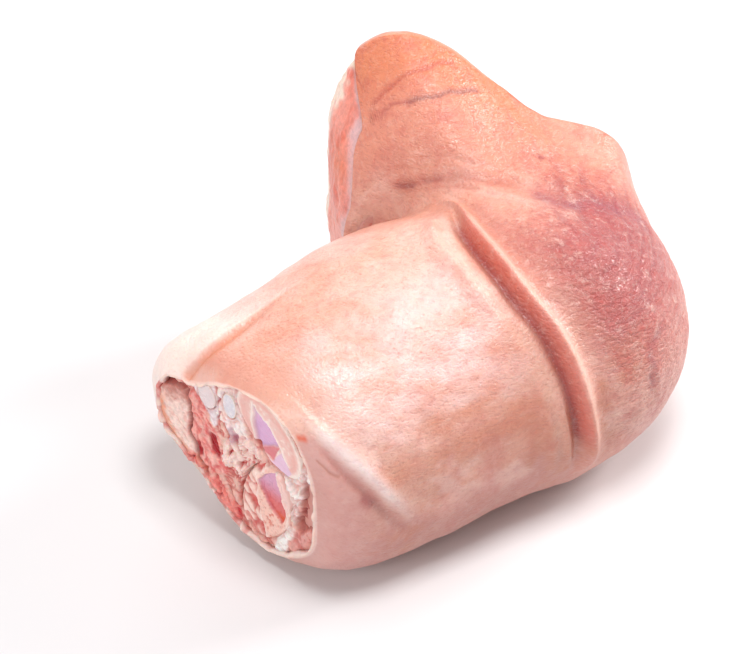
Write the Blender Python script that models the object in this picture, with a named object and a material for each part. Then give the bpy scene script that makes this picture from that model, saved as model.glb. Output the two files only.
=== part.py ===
"""Raw pork hock: the bent lower foreleg of a pig, cut through the wrist joint and above the elbow.

The hock is one lofted solid with its skin, fat and flesh. Two bones and two tendons show at the
wrist cut and run in from it, and the upper-arm bone shows at the shoulder cut. Each of these is a
solid of its own in a pocket. Sizes are in millimetres until the last step. The forearm lies
along the table, the elbow is at +X and the shoulder cut faces +Y.
"""
import bpy
import bmesh
import numpy as np

MM = 0.001
FIT_GAP = 0.3
SIDES = 70
BONE_SIDES = 14
TABLE_SOFTNESS = 1.6
TABLE_SINK = 1.5
TABLE_SINK_FADE = 15

# Sections of the leg from the wrist cut (first) round the elbow to the shoulder cut (last):
# centre x, y, z, turn and tilt of the section's normal in degrees, then its radii every 30 degrees,
# from the front (0) over the top (90) to the back (180) and below (270).
SECTIONS = [
    (-46.9, -64.9, 37, 48, 0, [37, 40, 42, 36, 31.5, 38, 35, 24, 22, 28, 34, 38]),
    (-42.0, -60.0, 39, 43, 0, [45, 46, 44, 39, 39, 45, 48, 36, 30, 33, 40, 47]),
    (-28.0, -48.0, 43, 36, 0, [52, 52, 47, 43, 41, 43, 49, 44, 41, 42, 50, 56]),
    (-6.0, -32.0, 45, 33, 0, [55, 53, 49, 45, 45, 46, 50, 47, 45, 45, 54, 60]),
    (16.0, -18.0, 46, 34, 0, [57, 54, 50, 46, 45, 47, 52, 49, 47, 46, 54, 60]),
    (34.0, -8.0, 47, 42, 1, [61, 58, 52, 47, 45, 46, 52, 50, 48, 47, 56, 62]),
    (43.0, 2.0, 48, 56, 2, [67, 62, 53, 46, 46, 49, 54, 52, 48, 48, 57, 65]),
    (49.0, 14.0, 50, 72, 2, [62, 56, 46, 42, 50, 58, 62, 60, 53, 50, 57, 63]),
    (45.0, 29.0, 53, 80, 0, [56, 52, 42, 43, 57, 61, 61, 62, 58, 53, 58, 61]),
    (41.0, 43.0, 56, 81, -2, [54, 52, 40, 46, 65, 64, 60, 64, 62, 56, 61, 60]),
    (38.0, 56.0, 58, 80, -3, [54, 54, 40, 48, 71, 66, 59, 66, 66, 58, 64, 60]),
]
LAST = len(SECTIONS) - 1

# Where the skin ends before the shoulder cut, and where the fold over the elbow runs, both in
# section numbers every 30 degrees round the leg.
SKIN_END = [9.86, 9.86, 9.86, 9.86, 9.84, 8.6, 7.8, 8.6, 9.8, 9.86, 9.86, 9.86]
FOLD_LINE = [4.82, 4.72, 4.62, 4.84, 5.65, 6.1, 6.0, 5.6, 5.3, 5.2, 5.05, 4.95]
FOLD_REACH = (-0.42, 0.30)
FOLD_HEIGHT = 3.4
FOLD_VALLEY = 1.6

SKIN_EDGE = 1.8
ROWS_FOREARM = 20
ROWS_FOLD = 9
ROWS_UPPER = 19
FACE_RINGS = (0.93, 0.84, 0.70, 0.52, 0.33, 0.16)


def smooth(edge0, edge1, value):
    """Smooth step from 0 at edge0 to 1 at edge1."""
    t = np.clip((value - edge0) / (edge1 - edge0), 0, 1)
    return t * t * (3 - 2 * t)


def cubic(p0, p1, p2, p3, f):
    """Catmull-Rom curve between p1 and p2 at fraction f."""
    bend = 2 * p0 - 5 * p1 + 4 * p2 - p3
    return 0.5 * (2 * p1 + (p2 - p0) * f + bend * f**2 + (3 * p1 - p0 - 3 * p2 + p3) * f**3)


def along(values, u):
    """Smooth curve through the rows of values at section number u."""
    values = np.asarray(values, float)
    before = 2 * values[0] - values[1]
    after = 2 * values[-1] - values[-2]
    rows = np.concatenate([[before], values, [after]])
    i = np.clip(np.floor(u).astype(int), 0, len(values) - 2)
    f = (u - i).reshape(u.shape + (1,) * (values.ndim - 1))
    return cubic(rows[i], rows[i + 1], rows[i + 2], rows[i + 3], f)


def around(values, v):
    """Smooth closed curve through values spread evenly over 360 degrees, at v degrees."""
    values = np.asarray(values, float)
    values = np.broadcast_to(values, v.shape + values.shape[-1:])
    n = values.shape[-1]
    k = np.mod(v * n / 360, n)
    i = np.floor(k).astype(int)

    def pick(j):
        return np.take_along_axis(values, np.mod(j, n)[..., None], -1)[..., 0]

    return cubic(pick(i - 1), pick(i), pick(i + 1), pick(i + 2), k - i)


def bump(distance, width):
    """Rounded bump of height 1 that has died away two widths from its middle."""
    return np.exp(-(distance / width) ** 2)


def skin_relief(u, v):
    """Height of the folds on the skin: the fold over the elbow, a fainter one beside it,
    the small fold low on the wrist and the groove that bounds the bulb at the wrist."""
    w = np.mod(v + 180, 360) - 180
    step = 20.6 + 8.5 * np.cos(np.radians(v))
    d = (u - around(FOLD_LINE, v)) * step
    shown = smooth(-28, -8, w) * smooth(124, 104, w)
    height = FOLD_HEIGHT * (0.75 + 0.25 * smooth(110, 70, w))
    fold = shown * (height * bump(d, 3.1) - FOLD_VALLEY * bump(d + 7.5, 3.8))
    second = 1.3 * bump(d + 13.5, 3.0) * smooth(-20, 0, w) * smooth(112, 92, w)
    second *= 0.2 + 0.8 * smooth(20, -5, w) + 0.8 * smooth(40, 65, w)
    low = (w - 32) * 0.84 + (u - 0.68) * 17.5
    run = (u - 0.68) / 1.57
    small = 1.6 * (bump(low, 3.2) - 0.6 * bump(low + 5.5, 3.0))
    small *= smooth(-0.15, 0.25, run) * smooth(1.15, 0.8, run)
    groove = -1.2 * bump((w - 122) * 0.8 + (u - 0.7) * 8, 3.0)
    groove *= smooth(1.9, 1.2, u) * smooth(0.05, 0.3, u)
    return fold + second + small + groove


def frame_at(u):
    """Centre, across, up and normal directions of the section at u."""
    c = along([s[:5] for s in SECTIONS], u)
    turn, tilt = np.radians(c[..., 3]), np.radians(c[..., 4])
    across = np.stack([np.sin(turn), -np.cos(turn), np.zeros_like(turn)], -1)
    normal = np.stack([np.cos(turn) * np.cos(tilt), np.sin(turn) * np.cos(tilt), np.sin(tilt)], -1)
    return c[..., :3], across, np.cross(across, normal), normal


def settle(points):
    """Lets the soft underside lie flat on the table at z = 0."""
    height = points[..., 2]
    soft = TABLE_SOFTNESS * np.logaddexp(0, height / TABLE_SOFTNESS)
    sink = TABLE_SINK * np.exp(-np.maximum(height, 0) / TABLE_SINK_FADE)
    points[..., 2] = np.maximum(soft - sink, 0)
    return points


def leg_surface(u, v, inset, share=1.0, lift=0.0):
    """Point of the leg at section number u and v degrees round it: centre + share * (radius -
    inset) * direction + lift * normal, where the radius is the smooth curve through the
    sections' radii, plus the folds."""
    centre, across, up, normal = frame_at(u)
    radius = around(along([s[5] for s in SECTIONS], u), v)
    radius = (radius + skin_relief(u, v) - inset) * share
    angle = np.radians(v)[..., None]
    out = np.cos(angle) * across + np.sin(angle) * up
    return settle(centre + radius[..., None] * out + np.asarray(lift)[..., None] * normal)


def wrist_face(v, share):
    """Depth of the wrist cut behind its skin edge: a step in from the skin, the loose flap and its
    seam at the back, the gap in front of the bones, and lumps of flesh."""
    w = np.mod(v, 360)
    radius = around(SECTIONS[0][5], v)
    inside = radius * (1 - share)
    flap = smooth(140, 165, w) * smooth(255, 225, w)
    seam = 2.2 * flap * bump(inside - 11.5, 2.6) + 0.12 * flap * np.clip(inside, 0, 11)
    gap = 3.2 * bump(inside - 5, 2.6) * bump(np.mod(w + 175, 360) - 180, 38)
    lumps = 0.7 * np.sin(np.radians(6 * w)) * np.cos(0.5 * inside) * smooth(0, 0.4, share)
    return 1.4 * smooth(0, 2.2, inside) + seam + gap + lumps * smooth(0, 6, inside)


def shoulder_face(v, share):
    """Height of the shoulder cut beyond its skin edge: muscles that bulge, with grooves between
    them, and more bulge at the back where the skin has drawn away."""
    w = np.mod(v, 360)
    radius = around(SECTIONS[LAST][5], v)
    inside = radius * (1 - share)
    bulge = 4.5 * smooth(0, 16, inside)
    between = np.abs(np.sin(np.radians(w * 2.5 + 18))) ** 0.5
    muscles = 1.6 * between * smooth(6, 14, inside) * smooth(0, 0.35, share)
    return bulge + muscles + 0.8 * np.sin(0.35 * inside)


def rows_of_leg():
    """Rows of points from the middle of the wrist cut, over the skin, to the middle of the
    shoulder cut. Rows of the skin follow the fold over the elbow."""
    v = np.arange(SIDES) * 360.0 / SIDES
    fold, end = around(FOLD_LINE, v), around(SKIN_END, v)
    start, stop = fold + FOLD_REACH[0], fold + FOLD_REACH[1]
    rows = []
    first = np.zeros(SIDES)
    for share in FACE_RINGS[::-1]:
        rows.append(leg_surface(first, v, 0, share, wrist_face(v, share)))
    for t in np.linspace(0, 1, ROWS_FOREARM, endpoint=False):
        rows.append(leg_surface(start * t**1.15, v, 0))
    for t in np.linspace(0, 1, ROWS_FOLD, endpoint=False):
        rows.append(leg_surface(start + (stop - start) * t, v, 0))
    for t in np.linspace(0, 1, ROWS_UPPER):
        rows.append(leg_surface(stop + (end - stop) * t, v, 0))
    rows.append(leg_surface(end + 0.02, v, SKIN_EDGE))
    last = np.full(SIDES, float(LAST))
    for t in (0.35, 0.7):
        rows.append(leg_surface(end + (last - end) * t, v, SKIN_EDGE + 0.6 * t))
    rows.append(leg_surface(last, v, SKIN_EDGE + 1.0))
    for share in FACE_RINGS:
        rows.append(leg_surface(last, v, SKIN_EDGE + 1.0, share, shoulder_face(v, share)))
    return rows


def closed_mesh(name, rows):
    """Closed mesh from rings of points, with a fan at each end, its faces turned outward."""
    mesh = bpy.data.meshes.new(name)
    bm = bmesh.new()
    rings = [[bm.verts.new(point) for point in row] for row in rows]
    count = len(rings[0])
    for lower, upper in zip(rings, rings[1:]):
        for k in range(count):
            n = (k + 1) % count
            bm.faces.new((lower[k], lower[n], upper[n], upper[k]))
    for ring, row in ((rings[0], rows[0]), (rings[-1], rows[-1])):
        middle = bm.verts.new(np.mean(row, axis=0))
        for k in range(count):
            bm.faces.new((ring[k], ring[(k + 1) % count], middle))
    bmesh.ops.triangulate(bm, faces=bm.faces)
    bmesh.ops.recalc_face_normals(bm, faces=bm.faces)
    bm.to_mesh(mesh)
    bm.free()
    mesh.shade_smooth()
    mesh.set_sharp_from_angle(angle=np.radians(40))
    return mesh


def rod_rows(path, sizes, turn, grow):
    """Rings of a bone or tendon: ellipses with the half sizes given, turned by the angle given,
    carried along a smooth path, with rounded ends. grow makes it larger all round."""
    t = np.linspace(0, len(path) - 1, 3 * len(path) - 1)
    centre = along(path, t)
    size = along(sizes, t) + grow
    ahead = np.gradient(centre, axis=0)
    ahead /= np.linalg.norm(ahead, axis=1, keepdims=True)
    side = np.cross(ahead, [0, 0, 1.0])
    side /= np.linalg.norm(side, axis=1, keepdims=True)
    top = np.cross(side, ahead)
    lean = np.radians(turn)
    long_way = np.cos(lean) * side + np.sin(lean) * top
    short_way = np.cos(lean) * top - np.sin(lean) * side
    angle = np.arange(BONE_SIDES) * 2 * np.pi / BONE_SIDES

    def ring(k, share, reach):
        spread = np.cos(angle)[:, None] * size[k, 0] * long_way[k]
        spread = spread + np.sin(angle)[:, None] * size[k, 1] * short_way[k]
        return centre[k] + share * spread + reach * ahead[k]

    rows = [ring(0, 0.55, -1.6 - grow), ring(0, 0.88, -1.0 - grow)]
    rows += [ring(k, 1.0, 0.0) for k in range(len(t))]
    rows += [ring(-1, 0.85, 0.45 * size[-1, 1]), ring(-1, 0.5, 0.75 * size[-1, 1])]
    return rows


# Bones and tendons: path points, half sizes at these points and turn of the long way in degrees
RODS = {
    "radius_bone": (
        [(-34.6, -76.0, 62.2), (-17, -58, 57), (10, -31, 52), (34, -12, 54)],
        [(17, 10), (13, 8), (9, 7), (11, 9)], -45),
    "ulna_bone": (
        [(-36.9, -73.9, 28.8), (-18, -52, 30), (12, -25, 31), (45, -2, 32)],
        [(19, 11), (11, 8), (7, 6.5), (9, 9)], 70),
    "humerus_bone": (
        [(44.5, 62.5, 62), (46, 42, 57), (47, 24, 50)],
        [(14, 12), (11.5, 10.5), (13, 11)], 10),
    "extensor_tendon": (
        [(-55.8, -57.8, 60.5), (-37, -41, 60), (-18, -24, 57)],
        [(4.2, 5.6), (3.6, 4.8), (3.0, 4.0)], 0),
    "flexor_tendon": (
        [(-48.4, -64.4, 62.5), (-32, -48, 62), (-14, -30, 62)],
        [(3.2, 5.6), (2.6, 4.4), (2.2, 3.6)], 0),
}
COLOURS = {
    "hock": (0.86, 0.56, 0.47), "radius_bone": (0.86, 0.68, 0.72), "ulna_bone": (0.84, 0.58, 0.58),
    "humerus_bone": (0.85, 0.72, 0.66), "extensor_tendon": (0.85, 0.83, 0.86),
    "flexor_tendon": (0.86, 0.83, 0.85),
}
ROUGHNESS = {"hock": 0.45, "radius_bone": 0.25, "ulna_bone": 0.35, "humerus_bone": 0.5,
             "extensor_tendon": 0.3, "flexor_tendon": 0.3}


def new_object(name, mesh):
    """Object in the scene with a plain material of its own."""
    thing = bpy.data.objects.new(name, mesh)
    bpy.context.scene.collection.objects.link(thing)
    if name in COLOURS:
        material = bpy.data.materials.new(name)
        material.use_nodes = True
        shader = material.node_tree.nodes["Principled BSDF"]
        shader.inputs["Base Color"].default_value = (*COLOURS[name], 1)
        shader.inputs["Roughness"].default_value = ROUGHNESS[name]
        shader.inputs["Metallic"].default_value = 0
        mesh.materials.append(material)
    return thing


def cut_pocket(body, cutter):
    """Cuts the hidden cutter's shape out of the body."""
    cutter.hide_render = True
    cutter.display_type = "WIRE"
    modifier = body.modifiers.new(cutter.name, "BOOLEAN")
    modifier.operation = "DIFFERENCE"
    modifier.solver = "EXACT"
    modifier.object = cutter


def build():
    """Makes the hock, its bones and tendons and their pockets, with the origin on the table
    under the middle of the hock's box."""
    for thing in list(bpy.data.objects):
        bpy.data.objects.remove(thing)
    leg = rows_of_leg()
    points = np.concatenate(leg)
    low, high = points.min(0), points.max(0)
    origin = np.array([(low[0] + high[0]) / 2, (low[1] + high[1]) / 2, low[2]])

    def placed(rows):
        return [(row - origin) * MM for row in rows]

    body = new_object("hock", closed_mesh("hock", placed(leg)))
    for name, (path, sizes, turn) in RODS.items():
        new_object(name, closed_mesh(name, placed(rod_rows(path, sizes, turn, 0))))
        pocket = closed_mesh(name + "_pocket", placed(rod_rows(path, sizes, turn, FIT_GAP)))
        cut_pocket(body, new_object(name + "_pocket", pocket))


build()
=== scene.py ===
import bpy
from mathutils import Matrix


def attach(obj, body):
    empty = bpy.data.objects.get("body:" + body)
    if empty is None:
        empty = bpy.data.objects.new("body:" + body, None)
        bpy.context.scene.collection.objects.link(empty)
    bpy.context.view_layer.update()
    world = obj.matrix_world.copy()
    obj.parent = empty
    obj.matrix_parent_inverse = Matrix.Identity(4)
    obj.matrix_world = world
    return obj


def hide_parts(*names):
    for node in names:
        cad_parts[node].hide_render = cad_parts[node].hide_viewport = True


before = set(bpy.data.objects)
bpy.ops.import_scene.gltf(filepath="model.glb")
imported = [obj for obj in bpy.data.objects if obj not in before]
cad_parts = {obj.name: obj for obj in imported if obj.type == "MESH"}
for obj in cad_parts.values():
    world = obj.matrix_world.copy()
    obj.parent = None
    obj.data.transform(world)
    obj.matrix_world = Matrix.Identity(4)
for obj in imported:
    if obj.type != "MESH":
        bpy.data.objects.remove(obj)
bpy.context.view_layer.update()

"""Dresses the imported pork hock: fine skin with its folds, the wrist cut with joint ends, tendons
and torn flesh, and the shoulder cut with its muscles and upper-arm bone.

Lengths are millimetres in the leg's own sections until a mesh is made. u is a section number along
the leg, from 0 at the wrist cut to LAST at the shoulder cut, and v is degrees round a section, from
the front (0) over the top (90) to the back (180) and below (270).
"""
import itertools
import math
import bpy
import numpy as np
from mathutils import Vector

MM = 0.001
# Point of the table in the sections' own millimetres that is the object's origin
TABLE_POINT = np.array([16.15, -11.54, 0.0])

# Sections of the leg from the wrist cut round the elbow to the shoulder cut: centre x, y, z, turn
# and tilt of the section's normal in degrees, then its radii every 30 degrees.
SECTIONS = [
    (-46.9, -64.9, 37, 48, 0, [37, 40, 42, 36, 31.5, 38, 35, 24, 22, 28, 34, 38]),
    (-42, -60, 39, 43, 0, [45, 46, 44, 39, 39, 45, 48, 36, 30, 33, 40, 47]),
    (-28, -48, 43, 36, 0, [52, 52, 47, 43, 41, 43, 49, 44, 41, 42, 50, 56]),
    (-6, -32, 45, 33, 0, [55, 53, 49, 45, 45, 46, 50, 47, 45, 45, 54, 60]),
    (16, -18, 46, 34, 0, [57, 54, 50, 46, 45, 47, 52, 49, 47, 46, 54, 60]),
    (34, -8, 47, 42, 1, [61, 58, 52, 47, 45, 46, 52, 50, 48, 47, 56, 62]),
    (43, 2, 48, 56, 2, [67, 62, 53, 46, 46, 49, 54, 52, 48, 48, 57, 65]),
    (49, 14, 50, 72, 2, [62, 56, 46, 42, 50, 58, 62, 60, 53, 50, 57, 63]),
    (45, 29, 53, 80, 0, [56, 52, 42, 43, 57, 61, 61, 62, 58, 53, 58, 61]),
    (41, 43, 56, 81, -2, [54, 52, 40, 46, 65, 64, 60, 64, 62, 56, 61, 60]),
    (38, 56, 58, 80, -3, [54, 54, 40, 48, 71, 66, 59, 66, 66, 58, 64, 60]),
]
LAST = len(SECTIONS) - 1
# Section number of the fold over the elbow, every 30 degrees
FOLD_LINE = [4.82, 4.72, 4.62, 4.84, 5.65, 6.1, 6.0, 5.6, 5.3, 5.2, 5.05, 4.95]
# How the underside settles: softness, sink and its fading height in mm
TABLE_SOFTNESS = 1.6
TABLE_SINK = 1.5
TABLE_SINK_FADE = 15

# Points round each ring of the skin and of the flesh at both cuts, their degrees, and the skin's
# rows before the fold, over it and after it
SKIN_SIDES = 440
ROUND = np.arange(SKIN_SIDES) * 360.0 / SKIN_SIDES
SKIN_ROWS = (112, 24, 64)
# Section number where the hidden inner sides of the shoulder cut end
INNER_END = 8.6
# Marks of the skin are drawn with this many mm to a section number and to a degree
SECTION_STEP, DEGREE_STEP = 13, 0.9

# Creases and marks of the skin: corners as section number and degrees, half width and depth in mm,
# colour and how strongly it shows. Three entries paint light and shade: painted shade along a valley
# over the elbow, and painted highlights along a pale ridge beside the fold and along the fainter fold.
CREASES = [
    ([(9.64, 103), (9.22, 112), (9.02, 118), (8.8, 126), (8.66, 134)], 0.55, 0.4, "#B8503F", 0.7),
    ([(9.22, 96), (8.82, 106), (8.64, 111), (8.46, 122)], 0.6, 0.5, "#8C5450", 0.8),
    ([(8.46, 122), (8.48, 128), (8.44, 137)], 0.55, 0.4, "#B05048", 0.7),
    ([(9.46, 134), (9.12, 134)], 0.6, 0.3, "#B5503F", 0.6),
    ([(6.72, 141), (6.74, 128), (7.05, 92)], 2.2, 0.5, "#B0604F", 0.4),
    # Painted shade: purple along a shallow valley over the elbow, with a 0.8 mm groove under it
    ([(6.9, 80), (6.74, 70), (7.36, 48), (7.56, 33)], 3.2, 0.8, "#94465A", 0.6),
    ([(6.76, 142), (6.72, 137)], 1.8, 0.3, "#84383A", 0.6),
    ([(6.73, 130), (6.78, 124)], 1.5, 0.2, "#8E4A46", 0.35),
    ([(8.17, 73), (8.2, 71)], 0.9, 0.3, "#8C1F1C", 0.95),
    ([(8.2, 70), (8.1, 77)], 0.5, 0.2, "#A84038", 0.5),
    ([(3.73, 6), (3.55, -13)], 2.2, 0.1, "#C27A72", 0.35),
    ([(6.05, 18), (5.78, 14), (5.72, 3)], 0.8, 0.5, "#9C5660", 0.6),
    # Painted highlight: pale along a low raised ridge beside the fold's upper end
    ([(6.46, 104), (6.44, 94), (6.47, 82), (6.58, 66)], 3.2, -0.7, "#EDBFB2", 0.35),
    # Painted highlight: pale along the crest of the fainter fold
    ([(4.38, 93), (4.24, 81), (4.18, 68), (4.3, 58)], 1.2, -0.3, "#F3D3CA", 0.3),
    ([(0.3, 46.5), (0.62, 44.5)], 1.4, 0.0, "#D8562F", 0.85),
    ([(0.66, 34), (0.94, 26.5), (1.16, 23)], 0.6, 0.5, "#B0705F", 0.6),
    ([(1.64, 7), (1.76, 4)], 1.7, 0.3, "#A04C4C", 0.6),
]
# Colours of sides that lie inside the leg
INNER_FAT, INNER_FLESH, INNER_BONE = "#DDA297", "#D98C82", "#E9C4BA"

# Thickness of the skin at the wrist cut, every 30 degrees
SKIN_THICK = [1.5, 1.0, 0.8, 0.9, 1.4, 2.2, 2.2, 1.7, 1.5, 1.4, 1.5, 1.6]


def ease(edge0, edge1, value):
    """Smooth step from 0 at edge0 to 1 at edge1: 3 t^2 - 2 t^3."""
    t = np.clip((value - edge0) / (edge1 - edge0), 0, 1)
    return t * t * (3 - 2 * t)


def band(value, low, full, last, high):
    """Smooth band: rises from 0 at low to 1 at full, and falls from 1 at last to 0 at high."""
    return ease(low, full, value) * ease(high, last, value)


def bump(distance, width):
    """Rounded bump of height 1 that has died away two widths from its middle."""
    return np.exp(-(distance / width) ** 2)


def cubic(p0, p1, p2, p3, f):
    """Catmull-Rom curve between p1 and p2 at fraction f."""
    bend = 2 * p0 - 5 * p1 + 4 * p2 - p3
    return 0.5 * (2 * p1 + (p2 - p0) * f + bend * f**2 + (3 * p1 - p0 - 3 * p2 + p3) * f**3)


def along(values, u):
    """Smooth curve through the rows of values at section number u."""
    values = np.asarray(values, float)
    rows = np.concatenate([[2 * values[0] - values[1]], values, [2 * values[-1] - values[-2]]])
    i = np.clip(np.floor(u).astype(int), 0, len(values) - 2)
    f = (u - i).reshape(u.shape + (1,) * (values.ndim - 1))
    return cubic(*(rows[i + k] for k in range(4)), f)


def around(values, v):
    """Smooth closed curve through values spread evenly over 360 degrees, at v degrees."""
    values = np.asarray(values, float)
    values = np.broadcast_to(values, v.shape + values.shape[-1:])
    n = values.shape[-1]
    k = np.mod(v * n / 360, n)
    i = np.floor(k).astype(int)

    def pick(j):
        return np.take_along_axis(values, np.mod(j, n)[..., None], -1)[..., 0]

    return cubic(pick(i - 1), pick(i), pick(i + 1), pick(i + 2), k - i)


def grain(points, size, seed=0):
    """Value noise from -1 to 1: a random value at each corner of a lattice of cubes of the size
    given, blended across each cube with a quintic step."""
    q = points / size + 17.31 * seed
    cell = np.floor(q).astype(np.int64)
    f = q - cell
    f = f**3 * (f * (f * 6 - 15) + 10)
    total = 0
    for corner in itertools.product((0, 1), repeat=3):
        k = cell + np.array(corner)
        mixed = (k[..., 0] * 73856093 ^ k[..., 1] * 19349663 ^ k[..., 2] * 83492791) & 0xFFFFFFFF
        mixed = ((mixed ^ (mixed >> 13)) * 1274126177) & 0xFFFFFFFF
        value = ((mixed ^ (mixed >> 16)) & 0xFFFF) / 32767.5 - 1
        share = np.where(corner, f, 1 - f)
        total = total + value * share[..., 0] * share[..., 1] * share[..., 2]
    return total


def fractal(points, size, octaves=3, seed=0):
    """Sum of noise at halving sizes and strengths."""
    return sum(grain(points, size / 2**k, seed + k) / 2**k for k in range(octaves))


def linear(colour):
    """Linear values of an sRGB hex colour."""
    s = np.array([int(colour[k:k + 2], 16) for k in (1, 3, 5)]) / 255
    return np.where(s <= 0.04045, s / 12.92, ((s + 0.055) / 1.055) ** 2.4)


def plain(colour, shape):
    """Array of the shape given that holds one hex colour everywhere."""
    return np.broadcast_to(linear(colour), shape + (3,))


def mix(base, colour, amount):
    """base moved towards a hex colour by the amount, an array or a number."""
    amount = np.clip(np.asarray(amount), 0, 1)[..., None]
    return base * (1 - amount) + linear(colour) * amount


def layered(colour, *layers):
    """The colour with each layer, a hex colour and its amount, mixed over the one before."""
    for paint, amount in layers:
        colour = mix(colour, paint, amount)
    return colour


def polar(radius, v):
    """Across and up of the point at a radius and v degrees."""
    return radius * np.cos(np.radians(v)), radius * np.sin(np.radians(v))


def turned(v, middle):
    """Degrees from the middle direction to v, from -180 to 180."""
    return np.mod(v - middle + 180, 360) - 180


def skin_end(v):
    """Section number where the skin stops at the shoulder cut. On the left it has drawn back."""
    back = 1.5 * ease(130, 142, v) + 1.1 * ease(140, 168, v) - 2.6 * ease(192, 235, v)
    return 9.93 - back


def frame_at(u):
    """Centre, across, up and normal directions of the section at u."""
    c = along([s[:5] for s in SECTIONS], u)
    turn, tilt = np.radians(c[..., 3]), np.radians(c[..., 4])
    across = np.stack([np.sin(turn), -np.cos(turn), np.zeros_like(turn)], -1)
    normal = np.stack([np.cos(turn) * np.cos(tilt), np.sin(turn) * np.cos(tilt), np.sin(tilt)], -1)
    return c[..., :3], across, np.cross(across, normal), normal


def settle(points):
    """Lets the soft underside lie flat on the table: a softened maximum of the height and 0, less a
    sink that fades upwards."""
    height = points[..., 2]
    soft = TABLE_SOFTNESS * np.logaddexp(0, height / TABLE_SOFTNESS)
    sink = TABLE_SINK * np.exp(-np.maximum(height, 0) / TABLE_SINK_FADE)
    points[..., 2] = np.maximum(soft - sink, 0)
    return points


def low_fold(u, w):
    """Distance in mm from the middle of the small fold low on the wrist."""
    return (w - np.interp(u, [0.9, 1.14, 1.38, 1.74, 2.02, 2.4], [50, 41, 32, 20, 9, -5])) * 0.43


def bulb_edge(u, v):
    """Distance in mm from the edge of the pale bulb at the wrist."""
    return (v - np.interp(u, [0, 0.25, 0.6, 1.07, 1.58, 2.2], [131, 128, 121, 114, 111, 109])) * 0.75


def fold_distance(u, v):
    """Distance in mm along the skin from the fold over the elbow, positive on the elbow's side."""
    return (u - around(FOLD_LINE, v)) * (20.6 + 8.5 * np.cos(np.radians(v)))


def big_folds(u, v):
    """Height of the folds on the skin: the fold over the elbow, a fainter one beside it, the small
    fold low on the wrist and the groove that bounds the bulb at the wrist."""
    w = turned(v, 0)
    d = fold_distance(u, v)
    shown = band(w, -28, -8, 104, 124)
    height = 3.6 * (0.72 + 0.28 * ease(110, 70, w))
    crest = bump(d, np.where(d < 0, 1.6, 3.0))
    valley = 1.9 * bump(d + 4.0, 2.0) * ease(114, 92, w)
    fold = shown * (height * crest - valley - 0.9 * bump(d - 8.0, 4.0))
    second = 2.1 * bump(d + 13.0, np.where(d < -13, 3.2, 2.0))
    second = second * band(w, -22, -4, 92, 112)
    second *= 0.2 + 0.5 * ease(25, 0, w) + 0.9 * ease(40, 65, w)
    tail = 1.1 * bump(d + 7.5, 1.3) * band(w, -18, -8, 8, 22)
    second = second + tail
    low = low_fold(u, w)
    small = 2.5 * bump(low, np.where(low < 0, 2.3, 3.6)) - 1.5 * bump(low + 4.8, 1.8)
    small *= band(u, 0.85, 1.25, 1.9, 2.7)
    across = bulb_edge(u, v)
    bulb = 1.3 * ease(-1.0, 1.2, across) * ease(16, 6, across) - 1.2 * bump(across + 1.6, 1.5)
    groove = bulb * band(u, -0.1, 0.15, 1.3, 2.3)
    return fold + second + small + groove


def marked(u, w, points, corners, width):
    """1 along a crease through the corners, with a slightly wandering course."""
    x = u * SECTION_STEP + 0.5 * grain(points, 6, 9)
    y = w * DEGREE_STEP + 0.5 * grain(points, 6, 10)
    return beside(x, y, [(SECTION_STEP * a, DEGREE_STEP * b) for a, b in corners], width)


def elbow_wrinkles(u, w, points):
    """Wrinkles over the elbow, from 0 to 1: lines about 3 mm apart that run level and wander, with
    a fine net between them."""
    level = points[..., 2] + 0.9 * grain(points, 8, 6)
    lines = np.maximum(0, np.sin(level * 2.1)) ** 2 * (0.7 + 0.5 * grain(points, 5, 7))
    shown = band(u, 5.0, 5.7, 7.8, 9.2) * band(w, -30, 0, 64, 90)
    return shown * np.clip(lines + 0.7 * np.abs(grain(points, 2.8, 8)), 0, 1)


def fine_folds(u, v, points):
    """Small relief of the skin: soft lumps of the flesh below, waves of creases in the crook of the
    elbow, the listed creases and ridges, a raised vein and the wrinkles over the elbow."""
    w = turned(v, 0)
    lumps = 0.5 * grain(points, 15, 1) + 0.3 * grain(points, 7, 2) + 0.1 * grain(points, 3.2, 3)
    crook = band(u, 5.9, 6.7, 7.3, 8.3) * band(w, 50, 80, 150, 172)
    waves = np.sin(8.0 * (u + 0.13 * grain(points, 9, 4) + 0.05 * grain(points, 4, 5)))
    creases = -0.7 * crook * np.maximum(0, waves) ** 3
    lines = 0
    for corners, width, depth, _, _ in CREASES:
        lines = lines - depth * marked(u, w, points, corners, width)
    vein = 0.8 * bump((u - 5.8) * 26, 1.0) * band(w, -8, -2, 10, 16)
    return lumps + creases + lines + vein - 0.42 * elbow_wrinkles(u, w, points)


def leg_points(u, v, inset=0.0, share=1.0, lift=0.0, fine=0.0):
    """Point of the leg at u and v: centre + share * (radius - inset) * direction + lift * normal,
    where the radius is the smooth curve through the sections' radii, plus big and fine folds."""
    centre, across, up, normal = frame_at(u)
    radius = around(along([s[5] for s in SECTIONS], u), v) + big_folds(u, v) + fine
    radius = (radius - inset) * share
    angle = np.radians(v)[..., None]
    out = np.cos(angle) * across + np.sin(angle) * up
    lift = np.broadcast_to(lift, u.shape)
    return settle(centre + radius[..., None] * out + lift[..., None] * normal)


def new_object(name, data):
    """Object that holds the data given, linked into the scene."""
    thing = bpy.data.objects.new(name, data)
    bpy.context.scene.collection.objects.link(thing)
    return thing


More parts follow.
